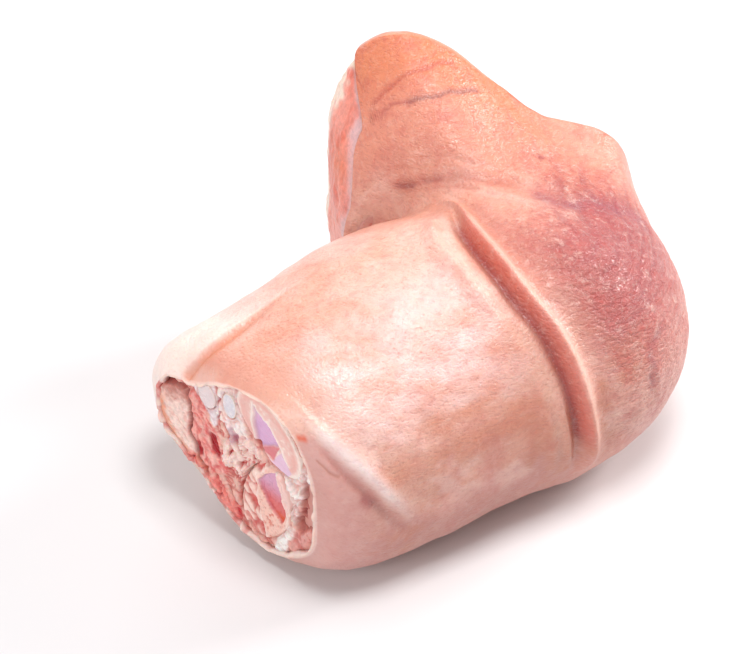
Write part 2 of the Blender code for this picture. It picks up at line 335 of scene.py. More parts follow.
def make_mesh(name, rows, colours, material, masks=(), replaced="hock"):
    """Closed mesh from a grid of rings, with a fan at each end and its faces turned outward. The
    colours and masks become attributes of its points."""
    n, m = rows.shape[:2]

    def with_ends(values):
        """Values of all grid points, then the mean of the first and of the last ring."""
        ends = np.stack([values[0].mean(0), values[-1].mean(0)])
        return np.concatenate([values.reshape(n * m, -1), ends.reshape(2, -1)])

    grid = np.arange(n * m).reshape(n, m)
    nxt = np.roll(grid, -1, 1)
    quads = np.stack([grid[:-1], nxt[:-1], nxt[1:], grid[1:]], -1).reshape(-1, 4)
    fans = [np.stack([nxt[0], grid[0], np.full(m, n * m)], -1),
            np.stack([grid[-1], nxt[-1], np.full(m, n * m + 1)], -1)]
    points = (with_ends(rows) - TABLE_POINT) * MM
    corner = points[quads]
    volume = sum((corner[:, 0] * np.cross(corner[:, k], corner[:, k + 1])).sum() for k in (1, 2))
    faces = quads.tolist() + fans[0].tolist() + fans[1].tolist()
    if volume < 0:
        faces = [face[::-1] for face in faces]
    mesh = bpy.data.meshes.new(name)
    mesh.from_pydata(points.tolist(), [], faces)
    mesh.shade_smooth()
    tone = mesh.attributes.new("tone", "FLOAT_COLOR", "POINT")
    rgb = with_ends(colours)
    tone.data.foreach_set("color", np.column_stack([rgb, np.ones(len(rgb))]).ravel())
    for key, values in masks:
        mask = mesh.attributes.new(key, "FLOAT", "POINT")
        mask.data.foreach_set("value", with_ends(values).ravel())
    mesh.materials.append(material)
    thing = new_object(name, mesh)
    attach(thing, "root")
    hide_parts(replaced)


# Materials. Each scale is 1000 mm over the real size of the pattern.
MOTTLE_SCALE = 330.0  # pink and pale mottling, 3 mm
FLUSH_SCALE = 110.0  # broad flushes and wetter places, 9 mm
PORE_SCALE = 760.0  # pores 1.3 mm apart
WRINKLE_SCALE = 760.0  # wrinkles, 0.9 mm upwards and 2 mm sideways through the mapping
GRAIN_SCALE = 1500.0  # grain of the skin, 0.7 mm
FIBRE_SCALE = 700.0  # meat fibres, 1.4 mm
SPONGE_SCALE = 900.0  # holes of spongy bone, 1.1 mm


def new_material(name, values):
    """Node material whose shader has the values given. Returns the material and three functions:
    one adds a node with its settings and links, one joins an output to the shader, one links."""
    material = bpy.data.materials.new(name)
    material.use_nodes = True
    tree = material.node_tree
    shader = tree.nodes["Principled BSDF"]
    for key, value in values.items():
        shader.inputs[key].default_value = value

    def add(kind, settings=None, **links):
        node = tree.nodes.new("ShaderNode" + kind)
        for key, value in (settings or {}).items():
            if isinstance(key, int) or key in node.inputs:
                node.inputs[key].default_value = value
            else:
                setattr(node, key, value)
        for key, source in links.items():
            tree.links.new(source, node.inputs[key.replace("_", " ")])
        return node

    def join(source, socket):
        tree.links.new(source, shader.inputs[socket])

    return material, add, join, tree.links.new


def pork_skin():
    """Scalded raw pork skin: moist, scraped and slightly translucent over white fat. Pores stand
    every millimetre or two, small wrinkles cross the elbow, and blood mottles the skin pink."""
    material, add, join, link = new_material("scalded_pork_skin", {
        "IOR": 1.5, "Coat Weight": 0.3, "Coat Roughness": 0.26, "Subsurface Weight": 0.2,
        "Subsurface Radius": (1.0, 0.35, 0.2), "Subsurface Scale": 0.003})
    place = add("TexCoord").outputs["Object"]
    tone = add("Attribute", {"attribute_name": "tone"}).outputs["Color"]
    flush = add("Attribute", {"attribute_name": "flush"}).outputs["Fac"]
    flat = add("Mapping", {"Scale": (0.6, 0.7, 1.4)}, Vector=place)
    mottle = add("TexNoise", {"Scale": MOTTLE_SCALE, "Detail": 5.0, "Roughness": 0.7,
                                        "Distortion": 0.4}, Vector=place)
    broad = add("TexNoise", {"Scale": FLUSH_SCALE, "Detail": 5.0, "Roughness": 0.65},
                Vector=place)
    pores = add("TexVoronoi", {"Scale": PORE_SCALE}, Vector=place)
    pit = add("MapRange", {"From Min": 0.05, "From Max": 0.5}, Value=pores.outputs["Distance"])
    wrinkles = add("TexNoise", {"Scale": WRINKLE_SCALE, "Detail": 3.0, "Roughness": 0.6,
                                          "Distortion": 0.5}, Vector=flat.outputs[0])
    ridge = add("MapRange", {"From Min": 0.34, "From Max": 0.6},
                Value=wrinkles.outputs["Fac"])
    speck = add("TexNoise", {"Scale": GRAIN_SCALE, "Detail": 2.0}, Vector=place)

    def paint(under, colour, amount, limits, most):
        """A colour mixed over another by most * flush, as the amount goes through the limits."""
        level = add("MapRange", {"From Min": limits[0], "From Max": limits[1],
                                           "To Max": most}, Value=amount)
        weight = add("Math", {"operation": "MULTIPLY"})
        link(level.outputs[0], weight.inputs[0])
        link(flush, weight.inputs[1])
        layer = add("Mix", {"data_type": "RGBA", 7: (*linear(colour), 1)})
        link(weight.outputs[0], layer.inputs["Factor"])
        link(under, layer.inputs[6])
        return layer.outputs[2]

    colour = paint(tone, "#BE544D", broad.outputs["Fac"], (0.46, 0.72), 0.75)
    colour = paint(colour, "#F2D2C6", mottle.outputs["Fac"], (0.46, 0.3), 0.5)
    colour = paint(colour, "#B04644", mottle.outputs["Fac"], (0.5, 0.7), 0.65)
    colour = paint(colour, "#9C4040", ridge.outputs[0], (0.55, 0.0), 0.45)
    colour = paint(colour, "#B54E40", pit.outputs[0], (0.6, 0.0), 0.5)
    join(colour, "Base Color")
    first = add("Bump", {"Strength": 0.5, "Distance": 0.00022}, Height=pit.outputs[0])
    net = add("Math", {"operation": "MULTIPLY"})
    link(ridge.outputs[0], net.inputs[0])
    link(flush, net.inputs[1])
    second = add("Bump", {"Strength": 0.65, "Distance": 0.0007}, Height=net.outputs[0],
                 Normal=first.outputs[0])
    third = add("Bump", {"Strength": 0.35, "Distance": 0.0002},
                Height=speck.outputs["Fac"], Normal=second.outputs[0])
    join(third.outputs[0], "Normal")
    join(third.outputs[0], "Coat Normal")
    wet = add("MapRange", {"From Min": 0.35, "From Max": 0.7, "To Min": 0.3, "To Max": 0.44},
              Value=broad.outputs["Fac"])
    join(wet.outputs[0], "Roughness")
    return material


def raw_flesh():
    """Raw meat, fat and torn tissue at a cut: wet and finely fibrous."""
    material, add, join, link = new_material("wet_raw_flesh", {
        "Roughness": 0.34, "IOR": 1.4, "Subsurface Weight": 0.3,
        "Subsurface Radius": (1.0, 0.3, 0.18), "Subsurface Scale": 0.0025})
    place = add("TexCoord").outputs["Object"]
    tone = add("Attribute", {"attribute_name": "tone"}).outputs["Color"]
    speck = add("TexNoise", {"Scale": FIBRE_SCALE, "Detail": 4.0, "Roughness": 0.65},
                Vector=place)
    level = add("MapRange", {"From Min": 0.3, "From Max": 0.7, "To Min": 0.82, "To Max": 1.12},
                Value=speck.outputs["Fac"])
    varied = add("Mix", {"data_type": "RGBA", "blend_type": "MULTIPLY", "Factor": 1.0})
    link(tone, varied.inputs[6])
    link(level.outputs[0], varied.inputs[7])
    join(varied.outputs[2], "Base Color")
    fibre = add("Bump", {"Strength": 0.35, "Distance": 0.0004}, Height=speck.outputs["Fac"])
    join(fibre.outputs[0], "Normal")
    return material


def joint_bone():
    """Bone end with wet articular cartilage: smooth, glossy and faintly translucent, with spongy
    bone where it was cut."""
    material, add, join, link = new_material("bone_and_cartilage", {
        "IOR": 1.42, "Subsurface Weight": 0.3, "Subsurface Radius": (1.0, 0.5, 0.45),
        "Subsurface Scale": 0.002})
    place = add("TexCoord").outputs["Object"]
    tone = add("Attribute", {"attribute_name": "tone"}).outputs["Color"]
    spongy = add("Attribute", {"attribute_name": "spongy"}).outputs["Fac"]
    holes = add("TexVoronoi", {"Scale": SPONGE_SCALE, "feature": "F1"}, Vector=place)
    shade = add("MapRange", {"From Min": 0.1, "From Max": 0.6, "To Min": 0.88, "To Max": 1.04},
                Value=holes.outputs["Distance"])
    speckled = add("Mix", {"data_type": "RGBA", "blend_type": "MULTIPLY"})
    link(spongy, speckled.inputs["Factor"])
    link(tone, speckled.inputs[6])
    link(shade.outputs[0], speckled.inputs[7])
    join(speckled.outputs[2], "Base Color")
    rough = add("MapRange", {"To Min": 0.24, "To Max": 0.5}, Value=spongy)
    join(rough.outputs[0], "Roughness")
    return material


SKIN = pork_skin()
FLESH = raw_flesh()
BONE = joint_bone()


# Skin


def skin_tone(u, v, points):
    """Base colour of the skin: peach, pale at the wrist, orange on the upper arm, brownish in the
    crook and purplish pink at the elbow, with tan patches and the listed marks. Light and shade are
    painted in as well: a paler patch over the forearm with a painted highlight, dark red painted
    shade in the valley on the forearm side of the elbow fold and a painted highlight on its elbow
    side, painted shade in the crease below the small wrist fold and a painted highlight along its
    ridge, a painted light patch behind the crook, and a pinker underside lightened as painted
    bounce light."""
    w = turned(v, 0)
    across, low, d = bulb_edge(u, v), low_fold(u, w), fold_distance(u, v)
    drift = 0.5 + 0.5 * fractal(points, 26, 3, 11)
    front = band(u, 0.5, 1.5, 4.4, 5.4) * band(w, -56, -24, -5, 22)
    top = ease(0.7, 1.6, u) * ease(58, 90, w)
    pale = ease(-0.6, 1.4, across) * ease(250, 190, v) * ease(3, 1.4, u)
    run = band(u, 0.85, 1.2, 1.9, 2.7)
    cuff = ease(2.6, 1.2, u) * ease(0, -4, low) * ease(-60, -30, w)
    veins = ease(0.2, 0.02, np.abs(grain(points, 7, 25) + 0.45 * grain(points, 2.6, 26)))
    crook = bump(u - 7.0, 0.8) * band(w, 40, 75, 138, 168)
    # Painted light: a lighter patch behind the crook that brightens skin the fold leaves in shade
    back = bump(u - 6.6, 0.6) * band(w, 138, 150, 168, 180)
    elbow = ease(4.9, 5.4, u) * band(w, 0, 30, 50, 82) * ease(8.8, 6.6, u)
    past = bump(u - around(FOLD_LINE, v) - 0.55, 0.5) * band(w, 20, 45, 85, 110)
    tan = ease(-0.1, 0.7, 1.1 * grain(points, 19, 21) + 0.6 * fractal(points, 4.5, 3, 22) + 0.15)
    tan *= band(w, -50, -20, 16, 42) * ease(6.4, 5.0, u)
    side = ease(5.2, 6.0, u) * band(w, -60, -30, 10, 35)
    # Paler skin over the forearm, streaked, that also carries a painted highlight
    paler_patch_and_painted_highlight = band(u, 0.9, 2.2, 3.7, 4.7) * band(w, 10, 30, 62, 88)
    streaks = fractal(points * [0.7, 0.7, 1.6], 7, 4, 23)
    # Pinker underside, lightened as painted bounce light from the table
    under = band(v, 195, 235, 304, 338)
    on_fold = band(w, -14, 0, 86, 106)
    return layered(
        plain("#DC9986", u.shape),
        ("#E3B19D", 0.9 * ease(3.4, 1.2, u) * ease(95, 40, w)),
        ("#BC8076", 0.75 * front),
        ("#DD977B", 0.7 * top * (0.5 + 0.5 * drift)),
        ("#F6E0D6", 0.9 * pale),
        ("#EABFB2", 0.6 * ease(0.5, 0.85, drift)),
        ("#E08F76", 0.85 * ease(6.9, 8.0, u) * ease(15, 60, w)),
        ("#DC7E54", 0.8 * ease(8.2, 9.4, u) * ease(50, 85, w)),
        ("#CC6656", 0.35 * veins * ease(5.6, 7.0, u) * ease(-10, 25, w)),
        ("#C98370", 0.6 * crook),
        # painted light patch behind the crook
        ("#F3CDBE", 0.6 * back),
        ("#A65055", 0.8 * elbow),
        ("#98404A", 0.5 * elbow_wrinkles(u, w, points) * ease(-5, 30, w)),
        ("#B06354", 0.6 * past),
        ("#C67C5A", 0.5 * tan),
        ("#CF8277", 0.6 * side),
        ("#EFC9C2", paler_patch_and_painted_highlight * (0.55 + 0.5 * streaks)),
        # pinker underside with painted bounce light
        ("#E0AFA2", 0.8 * under),
        ("#D98766", 0.75 * bump(across + 2.6, 2.4) * ease(2.3, 1.4, u)),
        ("#CC9691", 0.75 * cuff),
        # Painted highlight along the ridge of the small wrist fold, and painted shade in the crease
        # below it
        ("#F9E7E4", 0.8 * bump(low + 0.4, 2.2) * run),
        ("#BC7A72", 0.6 * bump(low + 4.8, 1.6) * run),
        # Painted shade: dark red and orange down the flank and valley on the forearm side of the elbow
        # fold. Painted highlight: pale on its elbow side
        ("#8E2824", 0.95 * bump(d + 3.2, 2.1) * on_fold),
        ("#D2604C", 0.8 * bump(d + 1.0, 1.6) * on_fold),
        ("#F6D3C2", 0.65 * bump(d - 2.2, 2.0) * on_fold),
        ("#F0C2AE", 0.4 * bump(d + 10, 3.0) * on_fold),
        *((paint, strength * marked(u, w, points, corners, width))
          for corners, width, _, paint, strength in CREASES),
        ("#F0D5CC", 0.6 * ease(0.1, 0.02, u)))


def skin_flush(u, v):
    """How strongly blood, pores and wrinkles mark the skin, from 0 to 1."""
    w = turned(v, 0)
    elbow = band(u, 4.8, 5.6, 7.4, 8.6) * band(w, -40, 5, 60, 95)
    upper = ease(6.4, 7.4, u) * ease(30, 70, w)
    return np.clip(0.32 + 0.55 * elbow + 0.05 * upper - 0.22 * ease(2.4, 0.5, u), 0, 1)


def hock_skin():
    """The skin from the wrist cut to the shoulder cut. Its rows run from inside the wrist, over the
    cut edge of the skin, along the leg and in again at the shoulder, so it is one closed body."""
    v = ROUND
    fold, end = around(FOLD_LINE, v), skin_end(v)
    ring = np.stack([np.cos(np.radians(v)), np.sin(np.radians(v)), 0 * v], -1) * 40
    end = end + 0.04 * fractal(ring, 9, 3, 31)
    over_cut = 3.0 * band(v, 80, 105, 130, 138)
    before = np.linspace(0, 1, SKIN_ROWS[0], endpoint=False)[:, None] * (fold - 0.4)
    over = np.linspace(-0.4, 0.3, SKIN_ROWS[1], endpoint=False)[:, None] + fold
    after = np.linspace(0, 1, SKIN_ROWS[2])[:, None] * (end - fold - 0.3) + fold + 0.3
    u = np.concatenate([before, over, after])
    v = np.broadcast_to(v, u.shape)
    base = leg_points(u, v)
    fine = fine_folds(u, v, base)
    below = band(v[0], 140, 152, 270, 292)
    ragged = (0.5 + 0.5 * below) * fractal(ring, 3.6, 3, 32)
    stained = 0.75 * below * ease(-0.6, 0.5, fractal(ring, 5, 3, 34))
    thick = around(SKIN_THICK, v[0]) * (1 + 0.4 * fractal(ring, 6, 3, 33))
    torn = 2.4 + 0.5 * ragged
    outer = leg_points(u, v, fine=fine)
    tone, flush = skin_tone(u, v, base), skin_flush(u, v)
    rows, tones, masks = [], [], []

    def lip(u_row, inset, colour, lift=0.0, share=1.0):
        """One row of a cut edge or a hidden inner side, in one colour."""
        fine_row = fine[0] if u_row[0] < 2 else fine[-1]
        rows.append(leg_points(u_row, v[0], inset, share, lift, fine_row)[None])
        paint = plain(colour, (1, SKIN_SIDES))
        tones.append(mix(paint, "#CF4F4A", stained[None]) if u_row[0] < 2 else paint)
        masks.append(np.full((1, SKIN_SIDES), 0.1))

    start = u[0]
    lip(start + 1.2, thick + 6, INNER_FAT, 0, 0.3)
    lip(start + 0.9, thick + 3, INNER_FAT, 0, 0.8)
    lip(start + 0.5, thick + 1, "#DFA99D")
    lip(start, thick, "#E9C0B5", 2.0)
    lip(start, thick - 0.15, "#F0D6CD", 0.6 + ragged)
    lip(start, 0.7 * thick, "#F2DAD1", -0.1 + ragged)
    lip(start, 0.4 * thick, "#F0D3C8", -0.35 + ragged)
    lip(start, 0.12 * thick, "#EDCBBD", -0.15 + 0.7 * ragged)
    rows.append(outer)
    tones.append(tone)
    masks.append(flush)
    lip(end, 0.15, "#DD8E70", 0.5 * over_cut)
    lip(end, 0.4, "#DDA08C", 0.35 + 0.9 * over_cut)
    lip(end, 0.9, "#CFA8A8", 0.5 + over_cut)
    lip(end, 0.7 * torn, "#C9A3A6", 0.45 + over_cut)
    lip(end, 0.9 * torn, "#D9B3AC", 0.1 + 0.9 * over_cut)
    lip(end - 0.12, torn + 0.3, INNER_FAT)
    lip(end - 0.3, torn + 2, INNER_FAT, 0, 0.97)
    lip(0.5 * end + 4.2, torn + 2, INNER_FAT, 0, 0.7)
    lip(0 * end + INNER_END, torn, INNER_FAT, 0, 0.25)
    make_mesh("hock_skin", np.concatenate(rows), np.concatenate(tones), SKIN,
              [("flush", np.concatenate(masks))])


# Wrist cut


def from_sides(a, b, sides):
    """Distance of each point to the nearest of some straight sides, each from p to q."""
    best = np.full(a.shape, np.inf)
    for p, q in sides:
        d = q - p
        t = np.clip(((a - p[0]) * d[0] + (b - p[1]) * d[1]) / (d @ d), 0, 1)
        best = np.minimum(best, np.hypot(a - p[0] - t * d[0], b - p[1] - t * d[1]))
    return best


def inside(a, b, corners, edge):
    """1 inside the outline through the corners and 0 outside it, with a soft edge of the width
    given: a smooth step of the signed distance to the outline."""
    corners = np.array(corners, float)
    sides = list(zip(corners, np.roll(corners, -1, 0)))
    sign = np.ones(a.shape)
    for p, q in sides:
        crosses = (p[1] > b) != (q[1] > b)
        with np.errstate(divide="ignore", invalid="ignore"):
            left = a < (q[0] - p[0]) * (b - p[1]) / (q[1] - p[1]) + p[0]
        sign = np.where(crosses & left, -sign, sign)
    return ease(-edge / 2, edge / 2, -sign * from_sides(a, b, sides))


def beside(a, b, corners, width):
    """1 on a line through the corners, falling to 0 two widths away."""
    corners = np.array(corners, float)
    return bump(from_sides(a, b, zip(corners, corners[1:])), width)


def rotated(x, y, turn):
    """x and y turned by some degrees: x cos - y sin and x sin + y cos."""
    cos, sin = math.cos(math.radians(turn)), math.sin(math.radians(turn))
    return x * cos - y * sin, x * sin + y * cos


def oval(a, b, centre, half, turn):
    """Distance measure of an ellipse: 1 on its outline, less inside."""
    x, y = rotated(a - centre[0], b - centre[1], -turn)
    return np.hypot(x / half[0], y / half[1])


# Rows from the middle of the cut to the skin; rows and sides of each joint end or tendon
WRIST_ROWS = 200
ROD_ROWS, ROD_SIDES = 70, 160

# Joint ends and tendons on the wrist cut, in mm across and up from the section's centre:
# centre, half sizes and turn, then the path that each runs along inside the leg, with its half
# sizes there.
WRIST_RODS = {
    "radius_bone": ((16.5, 25.2), (17.0, 10.0), -45, [(-17, -58, 57), (10, -31, 52), (34, -12, 54)],
                    [(13, 8), (9, 7), (11, 9)]),
    "ulna_bone": ((13.4, -8.2), (19.0, 11.0), 70, [(-18, -52, 30), (12, -25, 31), (45, -2, 32)],
                  [(11, 8), (7, 6.5), (9, 9)]),
    "extensor_tendon": ((-12.0, 23.5), (4.2, 5.6), 0, [(-37, -41, 60), (-18, -24, 57)],
                        [(3.6, 4.8), (3.0, 4.0)]),
    "flexor_tendon": ((-1.5, 25.5), (3.2, 5.6), 0, [(-32, -48, 62), (-14, -30, 62)],
                      [(2.6, 4.4), (2.2, 3.6)]),
}
# Tissues of the wrist cut: corners of their outlines or lines, across and up in mm
OVER_FLAP = [(-41, 22), (-33, 19.5), (-22, 21), (-20.5, 12), (-20.5, 2), (-16, -8), (-12, -12),
             (-17, -15), (-30, -10), (-40, 0)]
MUSCLE = [(-20, 21), (-14.5, 22), (-10, 14), (-6, 8), (-3.5, -1), (-5, -8), (-13, -12), (-17, -6),
          (-20, 3), (-20.5, 12)]
FASCIA = [(-20, 26), (-7, 32), (-5.5, 27), (-6, 17), (-8, 12), (-14.5, 21)]
CREAM = [(-5, 33), (3, 36), (5, 28), (6, 20), (8, 16), (3, 13), (-2, 15), (-5, 18), (-5.5, 27)]
NODULES = [(1, 14), (8, 17), (12, 15), (15, 9), (13, 1), (8, -2), (1, -6), (-3, -5), (-5, 3), (-3, 10)]
LOW_BAND = [(-20, -6), (-14, -12), (-7, -11), (-4, -14), (2, -19), (2, -24), (-1, -30), (-9, -26),
            (-18, -18), (-26, -10)]
COLUMN = [(22, -10), (27, -11), (25, -20), (21, -29), (17, -27), (20, -16)]
FAT = [(24, 13), (29, 17), (34, 22), (37, 17), (33, 9), (30, 0), (27, -9), (24, -4), (26, 4)]
GAP = [(34, 17), (38, 12), (37, 5), (37, 0), (34, -6), (29, -13), (27, -8), (30, -1), (31.5, 5),
       (31, 10)]
LOW_FLESH = [(27, -11), (31, -6), (38, -3), (38, -14), (30, -23), (25, -27), (25, -18)]
SEAM = [(-38, 18.5), (-33, 19), (-26, 21), (-21, 20.5), (-20.5, 12), (-20.5, 2), (-16.5, -8),
        (-13, -11.5)]
RED_LINE = [(-6, 32), (-6, 23), (-6.5, 17)]
LOWER_BONE = [(9.4, 2), (9.6, -9), (11, -17), (14.4, -29), (21.5, -29), (23, -14), (26, -3), (29, 9),
              (25, 16), (16, 10)]
# Spots of blood: centre, half sizes and turn
BLOOD = [((-8.4, 3.6), (2.2, 4.8), 15), ((-16.2, -2.6), (1.7, 2.8), 25)]


def wrist_radius(v):
    """Radius of the inner side of the skin at the wrist cut."""
    return around(SECTIONS[0][5], v) + big_folds(0 * v, v) - around(SKIN_THICK, v)


def in_plane(a, b):
    """Points of a cut's own plane, on which its noise is read."""
    return np.stack([a, b, 0 * a], -1)


def slanted(a, b):
    """Points of the plane turned and drawn out, on which noise makes slanting strands."""
    return in_plane(0.8 * a + 0.6 * b, 0.45 * (0.8 * b - 0.6 * a))


def cut_frame(u):
    """Centre, across, up and normal directions of the one section u."""
    return [part[0] for part in frame_at(np.full(1, float(u)))]


def on_cut(u, a, b, depth):
    """Point at a across and b up on the cut at section u, moved by the depth along its normal."""
    centre, across, up, normal = cut_frame(u)
    return centre + a[..., None] * across + b[..., None] * up + depth[..., None] * normal


def on_wrist(a, b, depth):
    """Point of the wrist cut at a across, b up and the depth given inside its plane."""
    return settle(on_cut(0, a, b, depth))


def oval_grid(centre, half, turn, rows, sides):
    """Round grid on an ellipse: the angles round it, the shares of its radius, and a and b, the
    centre plus share * half size * cosine or sine, turned."""
    angle = np.arange(sides) * 2 * np.pi / sides
    share = np.linspace(0.01, 1, rows)[:, None]
    a, b = rotated(share * half[0] * np.cos(angle), share * half[1] * np.sin(angle), turn)
    return angle, share, centre[0] + a, centre[1] + b


def ring_spread(size, angle, long_way, short_way):
    """Elliptical rings round the origin: half size * direction * cosine or sine of the angle."""
    spread = np.cos(angle)[:, None] * (size[:, :1] * long_way)[:, None]
    return spread + np.sin(angle)[:, None] * (size[:, 1:] * short_way)[:, None]


def wrist_tissue(a, b, from_skin):
    """Depth and colour of the wrist cut at a and b. Each tissue is an outline with a soft edge,
    drawn over the one before. Noise bends the outlines, and the size of noise, which is round on
    top and sharp where it crosses zero, makes the lumps of fat and torn flesh."""
    flat = in_plane(a, b)
    x = a + 0.9 + 0.9 * grain(flat, 4.5, 41) + 0.45 * grain(flat, 1.8, 42)
    y = b + 1.2 + 0.9 * grain(flat, 4.5, 43) + 0.45 * grain(flat, 1.8, 44)
    bent = flat + 0.6 * in_plane(grain(flat, 2, 52), grain(flat, 2, 53))
    fine = fractal(flat, 1.6, 3, 45)
    strands = slanted(a, b) + 0.3 * (bent - flat)
    lumps = ease(0, 0.5, np.abs(grain(strands, 2.3, 47))) + 0.5 * np.abs(grain(bent, 1.3, 48))
    fibres = grain(bent * [1, 0.3, 1], 1.1, 49)
    depth = 1.9 - 0.9 * lumps
    colour = mix(plain("#CF6F66", a.shape), "#EDBDB0", ease(0.1, 0.8, lumps))

    def lay(corners, dark, light, level, bulge, edge=1.2):
        """One tissue: depth = level - bulge * lumps + fine noise; dark to light on the lumps."""
        nonlocal depth, colour
        part = inside(x, y, corners, edge)
        depth = depth * (1 - part) + (level - bulge * lumps + 0.15 * fine) * part
        tint = mix(plain(dark, a.shape), light, ease(0.0, 0.7, lumps + 0.2 * fine))
        colour = colour * (1 - part[..., None]) + tint * part[..., None]
        return part

    over = lay(OVER_FLAP, "#EDBDB2", "#F8D8CD", 1.0, 0.3, 1.5)
    depth = depth - 1.2 * over * ease(-22, -34, a) * ease(-14, 4, b)
    rind = ease(4.5, 1.5, from_skin + fine) * ease(16, 8, b)
    colour = layered(colour, ("#BD6354", 0.8 * over * ease(9, 18, b + 3 * fine)),
                     ("#E88F68", 0.8 * over * rind))
    lay(LOW_BAND, "#CB1F2C", "#EE8F86", 1.8, 1.7, 2.0)
    muscle = lay(MUSCLE, "#E2706C", "#F3A69B", 1.3, 0.5)
    colour = layered(colour, ("#F1C0B5", 0.6 * muscle * ease(0.1, 0.7, fibres)),
                     ("#CC4A4C", 0.5 * muscle * ease(0.1, 0.7, -fibres)))
    lay(FASCIA, "#E2CCD0", "#F2E7E9", 1.2, 0.3)
    lay(CREAM, "#F0C6BE", "#FBEAE6", 1.6, 1.0)
    lay(NODULES, "#CE4541", "#F9DAD2", 2.6, 2.4, 1.6)
    lay(FAT, "#E6AFA6", "#FBF0EC", 1.8, 1.8)
    lay(COLUMN, "#EDCCC4", "#FCF5F1", 1.4, 0.8)
    lay(LOW_FLESH, "#CF7C74", "#E6A69C", 1.8, 0.7, 1.5)
    lay(GAP, "#8A3430", "#BC6A60", 4.6, 0.8, 2.2)
    colour = mix(colour, "#BF93A3", 0.7 * ease(1.3, 0.6, oval(x, y, (0.5, 14), (2.2, 3.4), 20)))
    seam, thin = beside(x, y, SEAM, 0.8), beside(x, y, RED_LINE, 0.45)
    depth = depth + 2.0 * seam + 0.9 * thin
    colour = layered(colour, ("#A02C2A", 0.85 * seam), ("#B9443F", 0.9 * thin))
    for centre, half, turn in BLOOD:
        spot = ease(1.25, 0.75, oval(x, y, centre, half, turn))
        colour = mix(colour, "#AA0E1B", spot)
        depth = depth + 0.7 * spot
    for centre, half, turn, *_ in WRIST_RODS.values():
        away = oval(a, b, centre, half, turn)
        depth = depth + 5.0 * ease(1.04, 0.94, away)
        colour = mix(colour, "#C4706A", 0.35 * bump((away - 1.06) * min(half), 0.6))
    return depth, colour


def wrist_flesh():
    """Flesh that fills the wrist cut inside the skin: a round grid from the middle of the cut to
    the skin's inner side, closed behind."""
    v = ROUND
    share = np.linspace(0.004, 1, WRIST_ROWS)[:, None]
    radius = wrist_radius(v) + 0.5
    a, b = polar(share * radius, v)
    from_skin = (1 - share) * radius
    depth, colour = wrist_tissue(a, b, from_skin)
    at = np.degrees(np.arctan2(b, a))
    line = bump(from_skin - 1.4, 0.7) * ease(20, 45, at)
    colour = mix(colour, "#C4625A", 0.5 * line * ease(115, 95, at))
    depth = depth + 0.6 * bump(from_skin, 1.0)
    front = on_wrist(a, b, depth)
    back = [on_wrist(k * a[-1], k * b[-1], np.full(SKIN_SIDES, d))
            for k, d in ((0.99, 6.0), (0.96, 8.5), (0.5, 9.0))]
    rows = np.concatenate([front, np.stack(back)])
    colours = np.concatenate([colour, plain(INNER_FLESH, (3, SKIN_SIDES))])
    make_mesh("wrist_flesh", rows, colours, FLESH)


def bone_mesh(name, replaced, front, colour, spongy, hidden):
    """Mesh of a bone or tendon: the rows of its cut end, then plain rings hidden in the leg."""
    shape = hidden.shape[:2]
    make_mesh(name, np.concatenate([front, hidden]),
              np.concatenate([colour, plain(INNER_BONE, shape)]), BONE,
              [("spongy", np.concatenate([spongy, np.zeros(shape)]))], replaced)


def upper_end(x, y, a, b):
    """Depth, colour and sponginess of the upper joint end: a pink rim round a lilac cartilage
    hollow, with a red facet and a lilac shelf below it."""
    fine = fractal(in_plane(a, b), 1.2, 3, 61)
    depth = 0.5 + 0.12 * fine
    away = oval(a, b, *WRIST_RODS["radius_bone"][:3])
    hollow = inside(x, y, [(10, 34), (17, 27.5), (20.6, 22), (16, 18.6), (11, 16), (10, 24)], 0.9)
    facet = inside(x, y, [(12, 16), (20.6, 21.6), (18.4, 14)], 0.8)
    shelf = inside(x, y, [(12, 15.5), (18, 13.4), (22, 20.5), (26, 13), (24, 10), (18, 10.6)], 0.9)
    line = beside(x, y, [(9.4, 24), (9.6, 34.5), (18, 28.2), (21.6, 22.4), (25, 16)], 0.55)
    line = np.maximum(line, beside(x, y, [(9.4, 24), (10.4, 16.5)], 0.5))
    depth = depth + 1.3 * hollow + 0.5 * facet - 0.35 * line
    colour = layered(
        plain("#EFC2B9", a.shape),
        ("#F6DDD3", ease(0, 0.9, fine)),
        ("#E8A79C", 0.6 * bump(away - 0.8, 0.12)),
        ("#F7E6DD", 0.8 * ease(0.86, 0.98, away)),
        ("#DCAED2", hollow),
        ("#E3BFD8", hollow * ease(26, 33, b)),
        ("#DC7E84", facet),
        ("#E5C0DA", 0.9 * shelf),
        ("#F8E8E0", 0.85 * line))
    return depth, colour, 0.25 * (1 - hollow) * (1 - shelf)


